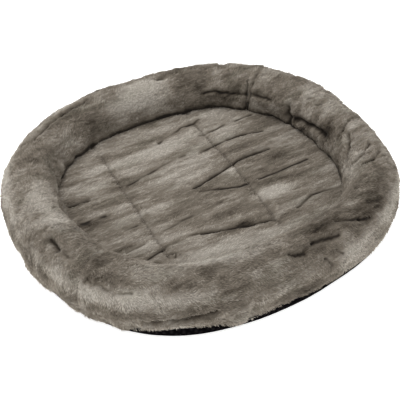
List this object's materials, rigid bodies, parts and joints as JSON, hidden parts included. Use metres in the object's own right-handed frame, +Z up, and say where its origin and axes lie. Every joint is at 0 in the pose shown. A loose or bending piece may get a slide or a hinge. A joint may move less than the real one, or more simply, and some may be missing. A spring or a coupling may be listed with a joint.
{
  "type": "pet cushion bed",
  "caption": "Rounded oval plush pet bed: a stuffed bolster ring round a quilted sleeping pad, on a flat black base cloth.",
  "frame": {"origin": "on the floor, under the centre of the bed", "axes": "+X along the bed's length, +Y across it, +Z up from the floor"},
  "size_m": [0.6092, 0.5432, 0.1079],
  "materials": {
    "plush": "matte",
    "base_cloth": "matte",
    "fibre": "matte",
    "thread": "matte",
    "black_thread": "matte"
  },
  "bodies": {
    "root": {"base_cloth": "base_cloth", "bolster_cover_left": "plush", "bolster_cover_right": "plush", "bolster_filling": "fibre", "pad_cover": "plush", "pad_wadding": "fibre", "outer_seam_thread": "black_thread", "inner_seam_thread": "thread", "quilt_thread_left": "thread", "quilt_thread_right": "thread", "join_thread_back": "thread", "join_thread_front": "thread"}
  },
  "joints": []
}
